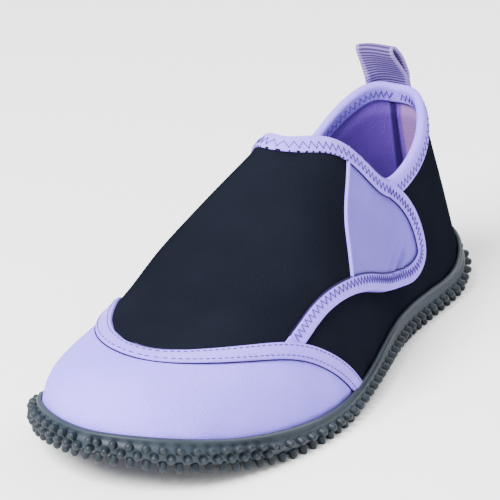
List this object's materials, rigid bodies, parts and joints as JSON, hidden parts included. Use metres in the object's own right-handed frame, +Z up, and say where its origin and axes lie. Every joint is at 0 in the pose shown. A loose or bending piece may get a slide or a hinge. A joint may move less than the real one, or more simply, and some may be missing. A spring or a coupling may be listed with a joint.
{
  "type": "water shoe",
  "caption": "Slip-on neoprene water shoe with a lilac toe cap, side closure flap, bound collar, heel pull loop and studded rubber outsole",
  "frame": {"origin": "on the floor under the middle of the shoe's outline box", "axes": "+X from heel to toe, +Y to the outer (lateral) side of this left shoe, +Z up"},
  "size_m": [0.2544, 0.1024, 0.0927],
  "materials": {
    "neoprene": "smooth fine jersey over foam, matt",
    "lilac_textile": "smooth knitted textile, matt",
    "lilac_tape": "folded elastic tape with zigzag stitches",
    "sole_rubber": "moulded, satin",
    "insole_foam": "textile-faced foam",
    "webbing": "ribbed woven webbing"
  },
  "bodies": {
    "root": {"upper": "neoprene", "toe_cap": "lilac_textile", "toe_band": "lilac_tape", "closure_flap": "lilac_textile", "collar_binding_rear": "lilac_tape", "collar_binding_front": "lilac_tape", "flap_binding": "lilac_tape", "outsole": "sole_rubber", "insole": "insole_foam", "pull_loop": "webbing"}
  },
  "joints": []
}
